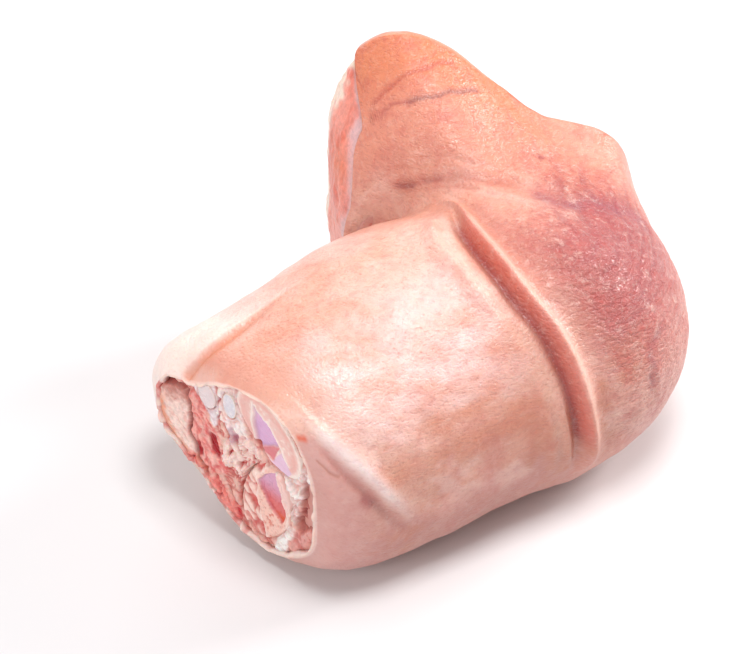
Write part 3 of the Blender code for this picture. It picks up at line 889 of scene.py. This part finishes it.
def lower_end(x, y, a, b):
    """Depth, colour and sponginess of the lower joint end: spongy cut bone, a long cartilage facet
    that reddens downwards, a pale smooth knob beside it, and shreds of flesh that cling round it."""
    fine = fractal(in_plane(a, b), 1.2, 3, 62)
    depth = 0.6 + 0.25 * fine
    bone = inside(x, y, LOWER_BONE, 0.9)
    rim = inside(x, y, LOWER_BONE, 4.5)
    knob = inside(x, y, [(18.5, 9), (27, 13), (27, 0), (23.8, -7), (20.4, 2)], 0.9)
    facet = inside(x, y, [(10, 0), (13.5, 4.5), (18.3, 8), (19.8, 2), (22.4, -9), (20.6, -13.8),
                          (16, -9.6)], 0.8)
    line = beside(x, y, [(18.8, 8.5), (20.4, 2), (23.2, -9)], 0.5)
    depth = depth - 0.6 * knob + 1.1 * facet
    colour = layered(
        plain("#F2C4B6", a.shape),
        ("#DE8878", ease(0.1, 0.8, fine)),
        ("#F6DFD6", 0.85 * ease(0.95, 0.5, rim)),
        ("#F1C9C1", knob),
        ("#D8A2BE", facet),
        ("#DB6D6B", facet * ease(3, -8, b)),
        ("#E2613E", facet * ease(-9, -12.5, b)),
        ("#F8E8E1", 0.8 * line))
    shreds = ease(0, 0.5, np.abs(grain(slanted(x, y), 2.3, 64)))
    around_bone = mix(plain("#D4625C", a.shape), "#F7D3C7", shreds + 0.2 * fine)
    colour = around_bone + (colour - around_bone) * bone[..., None]
    depth = depth * bone + (2.0 - 1.3 * shreds) * (1 - bone)
    return depth, colour, np.clip(bone - facet - knob, 0, 1)


def tendon_end(a, b, centre, half):
    """Depth, colour and sponginess of a cut tendon: bluish white, bulging, with a cream sheath."""
    away = oval(a, b, centre, half, 0)
    fine = fractal(in_plane(a, b), 1.4, 3, 63)
    colour = mix(plain("#D9D2DA", a.shape), "#E9E0E4", ease(-0.4, 0.8, fine))
    colour = mix(colour, "#F5E4DA", ease(0.78, 0.95, away))
    return 0.9 - 0.7 * (1 - away**2) + 0.12 * fine, colour, 0 * a


def wrist_rod(name):
    """A joint end or tendon: a round grid over its end on the wrist cut, then elliptical rings
    along its path into the leg."""
    centre, half, turn, path, sizes = WRIST_RODS[name]
    angle, share, a, b = oval_grid(centre, half, turn, ROD_ROWS, ROD_SIDES)
    if "bone" in name:
        broad = np.stack([a, b, 0 * a + len(name)], -1)
        a, b = a + 1.3 * share * grain(broad, 9, 73), b + 1.3 * share * grain(broad, 9, 74)
    reach = np.hypot(a, b)
    limit = wrist_radius(np.degrees(np.arctan2(b, a)) % 360) - 0.1
    held = np.minimum(1, limit / np.maximum(reach, 0.01))
    a, b = a * held, b * held
    flat = in_plane(a, b)
    bent_a, bent_b = a + 0.5 * grain(flat, 3, 71), b + 0.5 * grain(flat, 3, 72)
    if name == "radius_bone":
        depth, colour, spongy = upper_end(bent_a, bent_b, a, b)
    elif name == "ulna_bone":
        depth, colour, spongy = lower_end(bent_a, bent_b, a, b)
    else:
        depth, colour, spongy = tendon_end(a, b, centre, half)
        if name == "extensor_tendon":
            colour = mix(colour, "#EBD3D0", 0.65)
    depth = depth + 1.2 * ease(0.9, 1.0, share) ** 2
    front = on_wrist(a, b, depth)
    start = on_wrist(*np.array([*centre, 2.6])[:, None])[0]
    nodes = np.array([start, *path])
    t = np.linspace(0, len(nodes) - 1, 8 * len(nodes))[1:]
    middle = along(nodes, t)
    size = along([half] + sizes, t)
    ahead = np.gradient(middle, axis=0)
    ahead /= np.linalg.norm(ahead, axis=1, keepdims=True)
    side = np.cross(ahead, [0, 0, 1.0])
    side /= np.linalg.norm(side, axis=1, keepdims=True)
    top = np.cross(side, ahead)
    spread = ring_spread(size, angle, *rotated(side, top, -turn))
    tube = middle[:, None] + spread
    first = on_wrist(a[-1], b[-1], np.full(ROD_SIDES, 3.0))[None]
    shut = middle[-1] + 0.5 * spread[-1] + 0.6 * size[-1, 1] * ahead[-1]
    bone_mesh(name + "_cut", name, front, colour, spongy,
              np.concatenate([first, tube, shut[None]]))


# Shoulder cut

# Muscles: middle across and up in mm, and the size of each
MUSCLES = [(-34, 38, 1.0), (-8, 34, 0.9), (-40, 8, 0.9), (24, 20, 1.0), (-28, -22, 1.1),
           (30, -12, 1.0), (4, -34, 1.1), (38, -36, 0.8), (-14, 8, 0.8)]
# Upper-arm bone: centre and half sizes in mm, turn in degrees, rows and sides of its end
HUMERUS = (6.0, 4.5)
HUMERUS_HALF = (14.0, 12.0)
HUMERUS_TURN = 10
HUMERUS_ROWS, HUMERUS_SIDES = 50, 120
# Rows of the strip that the skin has left bare, and of the cut face
STRIP_ROWS, SHOULDER_ROWS = 70, 150


def shoulder_flesh():
    """Flesh of the shoulder cut: the strip that the skin has drawn back from, then the cut face,
    with a fat rim, muscles that bulge between pale seams, and the hollow for the bone."""
    v = ROUND
    end = skin_end(v)
    t = np.linspace(0, 1, STRIP_ROWS)[:, None]
    u = end - 0.1 + (LAST - end + 0.1) * t
    vv = np.broadcast_to(v, u.shape)
    base = leg_points(u, vv)
    rough = 0.5 * fractal(base, 7, 3, 81) + 0.25 * fractal(base, 2.4, 2, 82)
    strip = leg_points(u, vv, 2.0 - rough + 1.0 * ease(0.75, 1.0, t))
    run, far = (u - end) * SECTION_STEP, (LAST - u) * SECTION_STEP
    patchy = fractal(base * [1, 1, 0.4], 5, 4, 83)
    tone = layered(
        plain("#EC9888", u.shape),
        ("#DB7160", ease(-0.3, 0.9, patchy)),
        ("#DDB3B4", ease(9, 2, run + 3 * patchy)),
        ("#BFA9B4", bump(run - 0.6, 1.0)),
        ("#F1D9C8", ease(7, 2, far + 5 * fractal(base, 5, 2, 84))),
        ("#E07A58", 0.8 * bump(np.hypot(turned(vv, 160) * 0.8, (u - 8.6) * 12), 6)))
    share = np.linspace(1, 0.004, SHOULDER_ROWS)[:, None]
    radius = around(SECTIONS[LAST][5], v) - 3.0 + rough[-1]
    a, b = polar(share * radius, v)
    height, paint = shoulder_tissue(a, b, (1 - share) * radius)
    face = settle(on_cut(LAST, a, b, height))
    shut = np.stack([leg_points(0 * v + INNER_END, v, 4, 0.3), leg_points(end - 0.25, v, 5, 0.97)])
    inner = plain(INNER_FLESH, (2, SKIN_SIDES))
    make_mesh("shoulder_flesh", np.concatenate([shut, strip, face[1:]]),
              np.concatenate([inner, tone, paint[1:]]), FLESH)


def shoulder_tissue(a, b, from_skin):
    """Height and colour of the shoulder cut. A point belongs to the muscle whose middle is nearest;
    the seam lies where two are equally near."""
    flat = in_plane(a, b)
    x, y = a + 2.5 * grain(flat, 14, 91), b + 2.5 * grain(flat, 14, 92)
    near = np.stack([np.hypot(x - p, y - q) / size for p, q, size in MUSCLES])
    tint = (near.argmin(0) * 0.37) % 1
    near.sort(axis=0)
    seam = near[1] - near[0]
    fine, fibre = fractal(flat, 1.3, 3, 93), grain(flat * [1, 0.35, 1], 1.6, 94)
    fat_depth = 5.5 + 2.0 * grain(flat, 16, 95)
    fat = ease(fat_depth + 0.8, fat_depth - 0.8, from_skin)
    v = np.degrees(np.arctan2(b, a))
    low = 1 - 0.75 * band(v, 55, 75, 125, 150) * ease(26, 10, from_skin)
    height = 4.6 * ease(0, 14, from_skin) * low + 1.5 * ease(0, 7, seam) * low
    height = height + 0.25 * fine + 0.12 * fibre
    veins = ease(0.09, 0.02, np.abs(grain(flat, 8, 97) + 0.35 * grain(flat, 3, 98)))
    away = oval(a, b, HUMERUS, HUMERUS_HALF, HUMERUS_TURN)
    colour = layered(
        plain("#B9544F", a.shape),
        ("#D0746C", tint),
        ("#DE958B", 0.5 * ease(-0.2, 0.9, fine + 0.5 * grain(flat, 9, 96))),
        ("#A8403F", 0.45 * ease(0.1, 0.8, -fibre)),
        ("#E9BDB0", 0.55 * veins * ease(-0.2, 0.4, grain(flat, 20, 99))),
        ("#F1D8CC", 0.9 * ease(2.4, 0.8, seam)),
        ("#F6E4D8", fat),
        ("#EFC9BC", 0.5 * fat * ease(0, 0.8, fine)),
        ("#E9C2B6", bump((away - 1.1) * 12, 1.6)))
    return height - 6 * ease(1.05, 0.9, away) * ease(0, 14, from_skin), colour


def humerus():
    """The sawn upper-arm bone: a pale hard ring with a red marrow middle, then rings into the leg."""
    _, across, up, normal = cut_frame(LAST)
    angle, share, a, b = oval_grid(HUMERUS, HUMERUS_HALF, HUMERUS_TURN, HUMERUS_ROWS, HUMERUS_SIDES)
    flat = in_plane(a, b)
    fine = fractal(flat, 1.5, 3, 101)
    ring = ease(0.62, 0.72, share + 0.06 * grain(flat, 4, 102))
    height = 6.4 - 1.0 * (1 - ring) + 0.2 * fine * (1 - ring) - 1.4 * ease(0.94, 1.0, share) ** 2
    colour = mix(plain("#C9655C", a.shape), "#E3A193", ease(-0.4, 0.6, fine))
    colour = mix(colour, "#F2DCCF", ring)
    front = on_cut(LAST, a, b, height)
    nodes = np.array([front[-1].mean(0) - 2 * normal, (46, 42, 57), (47, 24, 50)])
    t = np.linspace(0, 2, 20)
    middle, size = along(nodes, t), along([HUMERUS_HALF, (11.5, 10.5), (13, 11)], t)
    spread = ring_spread(size, angle, across, up)
    tube = middle[:, None] + spread
    shut = middle[-1] + 0.5 * spread[-1] - 6 * normal
    bone_mesh("humerus_cut", "humerus_bone", front, colour, 0.9 * (1 - ring),
              np.concatenate([tube, shut[None]]))


hock_skin()
wrist_flesh()
for rod in WRIST_RODS:
    wrist_rod(rod)
shoulder_flesh()
humerus()


# Floor, light and camera

# Point that lamps aim at, in metres; the camera's elevation, its lens and sensor width in mm, its
# distance and the point it looks at; half the floor's side
AIM = Vector((0, 0, 0.04))
CAMERA_ELEVATION = math.radians(42)
CAMERA_LENS = 112.0
CAMERA_SENSOR = 36.0
CAMERA_DISTANCE = 0.8187
LOOK_AT = AIM - Vector(TABLE_POINT * MM)
FLOOR_HALF = 3.0
WORLD_STRENGTH = 0.36
# Lamps: place and size in metres, power in watts and colour
LAMPS = {
    "right_back": ((0.8, 0.35, 0.6), (0.35, 0.35), 8.0, (1, 0.985, 0.97)),
    "overhead": ((0.1, -0.16, 1.0), (0.34, 0.34), 6.3, (1, 1, 1)),
    "back_left": ((-0.45, 0.95, 0.7), (1.3, 0.8), 7.0, (1, 1, 1)),
    "front_left": ((-0.75, -0.8, 0.65), (0.5, 0.5), 5.3, (1, 1, 1)),
}


def studio():
    """A wide pale floor, an even white world, four soft lamps aimed at the leg, and the camera."""
    scene = bpy.context.scene
    scene.view_settings.view_transform = "Standard"
    floor_mesh = bpy.data.meshes.new("floor")
    corners = [(x * FLOOR_HALF, y * FLOOR_HALF, 0) for x, y in ((-1, -1), (1, -1), (1, 1), (-1, 1))]
    floor_mesh.from_pydata(corners, [], [(0, 1, 2, 3)])
    card = new_material("white_card", {"Base Color": (*linear("#DEDBDC"), 1), "Roughness": 0.8})[0]
    floor_mesh.materials.append(card)
    new_object("floor", floor_mesh)
    for name, (place, size, power, colour) in LAMPS.items():
        light = bpy.data.lights.new(name, "AREA")
        light.shape = "RECTANGLE"
        light.size, light.size_y = size
        light.energy = power
        light.color = colour
        thing = new_object(name, light)
        thing.location = place
        thing.rotation_euler = (AIM - thing.location).to_track_quat("-Z", "Y").to_euler()
    world = bpy.data.worlds.new("studio")
    world.use_nodes = True
    sky = world.node_tree.nodes["Background"].inputs
    sky["Color"].default_value = (1, 1, 1, 1)
    sky["Strength"].default_value = WORLD_STRENGTH
    scene.world = world
    optics = bpy.data.cameras.new("camera")
    optics.lens = CAMERA_LENS
    optics.sensor_width = CAMERA_SENSOR
    optics.sensor_fit = "HORIZONTAL"
    optics.clip_start = 0.01
    camera = new_object("camera", optics)
    back = Vector((0, -math.cos(CAMERA_ELEVATION), math.sin(CAMERA_ELEVATION)))
    camera.location = LOOK_AT + CAMERA_DISTANCE * back
    camera.rotation_euler = (-back).to_track_quat("-Z", "Y").to_euler()
    scene.camera = camera


studio()
